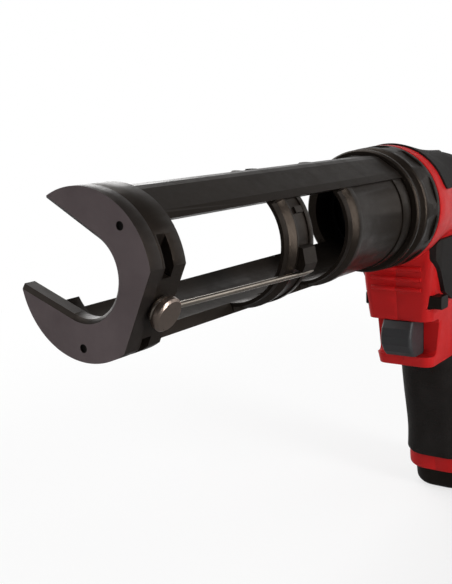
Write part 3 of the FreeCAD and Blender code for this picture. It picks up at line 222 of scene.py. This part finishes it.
MATERIALS = {
    "cradle_plastic": moulded("cradle_plastic", (0.0095, 0.0074, 0.0060), 0.36,
                              grain=1900.0, depth=0.38, mottle=0.18, gloss=0.27, tint=WARM),
    # nose plate: face in its own grey; side is painted shade on sides and chamfers
    "nose_metal": plate("nose_metal", face=(0.145, 0.117, 0.122), side=(0.015, 0.0125, 0.0115)),
    "dark_steel": metal("dark_steel", (0.10, 0.10, 0.105), 0.42),
    "pin_steel": metal("pin_steel", (0.42, 0.335, 0.285), 0.34, brush=ALONG_Y),
    "zinc_wire": metal("zinc_wire", (0.50, 0.44, 0.375), 0.26, brush=ALONG_X, depth=0.03),
    "zinc_steel": metal("zinc_steel", (0.60, 0.60, 0.61), 0.28, brush=ALONG_X),
    "aluminium": metal("aluminium", (0.56, 0.56, 0.57), 0.46, scale=1600.0, depth=0.3),
    "brass": metal("brass", (0.66, 0.46, 0.20), 0.34),
    "black_plastic": moulded("black_plastic", (0.0095, 0.0080, 0.0072), 0.38,
                             grain=2300.0, depth=0.36, mottle=0.18, gloss=0.22, tint=WARM),
    "red_plastic": moulded("red_plastic", (0.44, 0.0100, 0.0105), 0.38,
                           grain=2800.0, depth=0.22, mottle=0.06, gloss=0.16, tint=(1.0, 0.72, 0.70)),
    "black_rubber": rubber("black_rubber", (0.014, 0.0135, 0.0135)),
    "trigger_plastic": moulded("trigger_plastic", (0.034, 0.034, 0.036), 0.40, depth=0.3, gloss=0.35),
    "board_green": moulded("board_green", (0.02, 0.13, 0.05), 0.38, grain=700.0, depth=0.2, mottle=0.3),
    "cell_wrap": moulded("cell_wrap", (0.04, 0.10, 0.26), 0.32, grain=400.0, depth=0.1),
}
GRIP = rubber("grip_rubber", (0.013, 0.0125, 0.0125), dots=520.0)
CASTING = metal("dark_casting", (0.045, 0.045, 0.047), 0.52, scale=1500.0, depth=0.4)
OTHER = {
    "left_grip": GRIP,
    "right_grip": GRIP,
    "gear_nose": CASTING,
    "plunger_disc": CASTING,
    "nose_pins": metal("pin_black", (0.035, 0.032, 0.031), 0.5),
}


# Edges and springs

EDGES = {
    "cradle": 0.0004, "nose_plate": 0.0003, "lock_collar": 0.0004,
    "left_housing": 0.0004, "right_housing": 0.0004, "lock_shuttle": 0.0005,
    "battery_foot": 0.0004, "punch_pivot": 0.0004, "pull_ring": 0.0006,
}
WELD_REACH = 0.000002
EDGE_ANGLE = math.radians(16.0)


def soften(obj, width):
    """Small rounded edges that catch the light, as on moulded and turned pieces."""
    weld = obj.modifiers.new("weld", "WELD")
    weld.merge_threshold = WELD_REACH
    edge = obj.modifiers.new("edge", "BEVEL")
    edge.width = width
    edge.segments = 2
    edge.limit_method = "ANGLE"
    edge.angle_limit = EDGE_ANGLE
    edge.use_clamp_overlap = True
    edge.harden_normals = True


for name, obj in NODES.items():
    mat = OTHER.get(name, MATERIALS[SLOT_OF[name]])
    if obj.material_slots:
        for slot in obj.material_slots:
            slot.material = mat
    else:
        obj.data.materials.append(mat)
    if name in EDGES:
        soften(obj, EDGES[name])


def spring(node):
    """A copy of a CAD spring, fixed to the body, that stands in for the hidden original."""
    piece = bpy.data.objects.new(node + "_coil", NODES[node].data.copy())
    bpy.context.scene.collection.objects.link(piece)
    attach(piece, "body")
    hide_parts(node)
    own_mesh(piece)


spring("trigger_spring")
spring("release_spring")


# Floor and light

FLOOR = CAD_BOX[0][2] - 0.0004
FLOOR_RADIUS = 9.0
FLOOR_SIDES = 64
BACKDROP_SIDE = (0.81, 0.58, 0.0)
AMBIENT = 0.22


def combined(tree, operation, first, second):
    """The result of a maths node on two values."""
    node = tree.nodes.new("ShaderNodeMath")
    node.operation = operation
    tree.links.new(first, node.inputs[0])
    tree.links.new(second, node.inputs[1])
    return node.outputs["Value"]


def rays(tree):
    """Two values: one for rays from the camera, and one for rays off a mirror or through glass."""
    path = tree.nodes.new("ShaderNodeLightPath").outputs
    mirrored = combined(tree, "MAXIMUM", path["Is Glossy Ray"], path["Is Transmission Ray"])
    return path["Is Camera Ray"], mirrored


def behind(tree, way, low, start, end):
    """One on the side of the white backdrop, behind the object, and low on the other sides."""
    facing = tree.nodes.new("ShaderNodeVectorMath")
    facing.operation = "DOT_PRODUCT"
    facing.inputs[1].default_value = BACKDROP_SIDE
    tree.links.new(way, facing.inputs[0])
    return spread(tree, facing.outputs["Value"], low, 1.0, start, end)


def from_middle(tree, where, operation):
    """The vector node that gives the distance or the direction of a point on the floor."""
    node = tree.nodes.new("ShaderNodeVectorMath")
    node.operation = operation
    tree.links.new(where, node.inputs[0])
    return node


def backdrop():
    """A pale round floor that fades to white away from the object, and keeps its shadow."""
    turns = [2 * math.pi * step / FLOOR_SIDES for step in range(FLOOR_SIDES)]
    points = [Vector((FLOOR_RADIUS * math.cos(turn), FLOOR_RADIUS * math.sin(turn), FLOOR))
              for turn in turns]
    mesh = bpy.data.meshes.new("backdrop")
    mesh.from_pydata(points, [], [tuple(range(FLOOR_SIDES))])
    obj = bpy.data.objects.new("backdrop", mesh)
    bpy.context.scene.collection.objects.link(obj)
    mat, tree, bsdf, where = shader("backdrop")
    pale = ramp(tree, noise(tree, where, 3.0), (0.85, 0.85, 0.85), (0.88, 0.88, 0.88))
    tree.links.new(pale, bsdf.inputs["Base Color"])
    bsdf.inputs["Roughness"].default_value = 0.8
    white = tree.nodes.new("ShaderNodeEmission")
    far = from_middle(tree, where, "LENGTH").outputs["Value"]
    way = from_middle(tree, where, "NORMALIZE").outputs["Vector"]
    direct, mirrored = rays(tree)
    faded = combined(tree, "MULTIPLY", spread(tree, far, 0.66, 1.0, 0.15, 0.85), direct)
    strength = combined(tree, "MAXIMUM", direct, behind(tree, way, 0.15, 0.5, 0.85))
    tree.links.new(strength, white.inputs["Strength"])
    mix = tree.nodes.new("ShaderNodeMixShader")
    tree.links.new(combined(tree, "MAXIMUM", faded, mirrored), mix.inputs["Fac"])
    tree.links.new(bsdf.outputs["BSDF"], mix.inputs[1])
    tree.links.new(white.outputs["Emission"], mix.inputs[2])
    tree.links.new(mix.outputs["Shader"], tree.nodes["Material Output"].inputs["Surface"])
    mesh.materials.append(mat)


def softbox(name, place, aim, size, power):
    """A rectangular area light that points at a spot."""
    light = bpy.data.lights.new(name, "AREA")
    light.shape = "RECTANGLE"
    light.size, light.size_y = size
    light.energy = power
    obj = bpy.data.objects.new(name, light)
    obj.location = place
    obj.rotation_euler = (Vector(aim) - Vector(place)).to_track_quat("-Z", "Y").to_euler()
    bpy.context.scene.collection.objects.link(obj)


def studio():
    """A soft light all round; mirrored rays see a white backdrop in a darker room."""
    world = bpy.data.worlds.new("studio")
    world.use_nodes = True
    tree = world.node_tree
    sky = tree.nodes["Background"]
    sky.inputs["Color"].default_value = (1.0, 1.0, 1.0, 1.0)
    direct, mirrored = rays(tree)
    way = tree.nodes.new("ShaderNodeTexCoord").outputs["Generated"]
    height = tree.nodes.new("ShaderNodeSeparateXYZ")
    tree.links.new(way, height.inputs["Vector"])
    wall = combined(tree, "MULTIPLY", behind(tree, way, 0.22, 0.55, 0.85),
                    spread(tree, height.outputs["Z"], 1.0, 0.3, 0.12, 0.45))
    room = combined(tree, "MAXIMUM", direct, combined(tree, "MULTIPLY", mirrored, wall))
    soft = spread(tree, mirrored, AMBIENT, 0.0, 0.0, 1.0)
    tree.links.new(combined(tree, "MAXIMUM", room, soft), sky.inputs["Strength"])
    bpy.context.scene.world = world


backdrop()
softbox("overhead", (-0.1, 0.45, 1.0), aim=(-0.05, 0.0, 0.0), size=(1.2, 0.7), power=7.0)
softbox("rear", (0.45, 1.1, 0.45), aim=(0.0, 0.0, 0.0), size=(1.2, 0.8), power=8.0)
softbox("left", (-0.20, -1.0, 0.05), aim=(-0.08, 0.0, 0.0), size=(0.28, 1.3), power=13.0)
softbox("side", (0.75, -0.68, 0.32), aim=(-0.05, 0.0, 0.0), size=(0.6, 0.6), power=0.9)
studio()
bpy.context.scene.view_settings.view_transform = "Standard"


# Camera, as solved from the photograph

LENS = 56.05
EYE = (-0.43304, -0.21906, 0.05078)
RIGHT = (0.5734, -0.8180, -0.0407)
AHEAD = (0.7999, 0.5700, -0.1861)

camera = bpy.data.cameras.new("camera")
camera.sensor_width = 36.0
camera.sensor_fit = "AUTO"
camera.lens = LENS
camera.clip_start = 0.01
camera.clip_end = 50.0
eye = bpy.data.objects.new("camera", camera)
bpy.context.scene.collection.objects.link(eye)
right = Vector(RIGHT).normalized()
ahead = Vector(AHEAD)
ahead = (ahead - right * ahead.dot(right)).normalized()
above = right.cross(ahead)
turn = Matrix((right, above, -ahead)).transposed()
eye.matrix_world = Matrix.Translation(EYE) @ turn.to_4x4()
bpy.context.scene.camera = eye

bpy.context.view_layer.update()
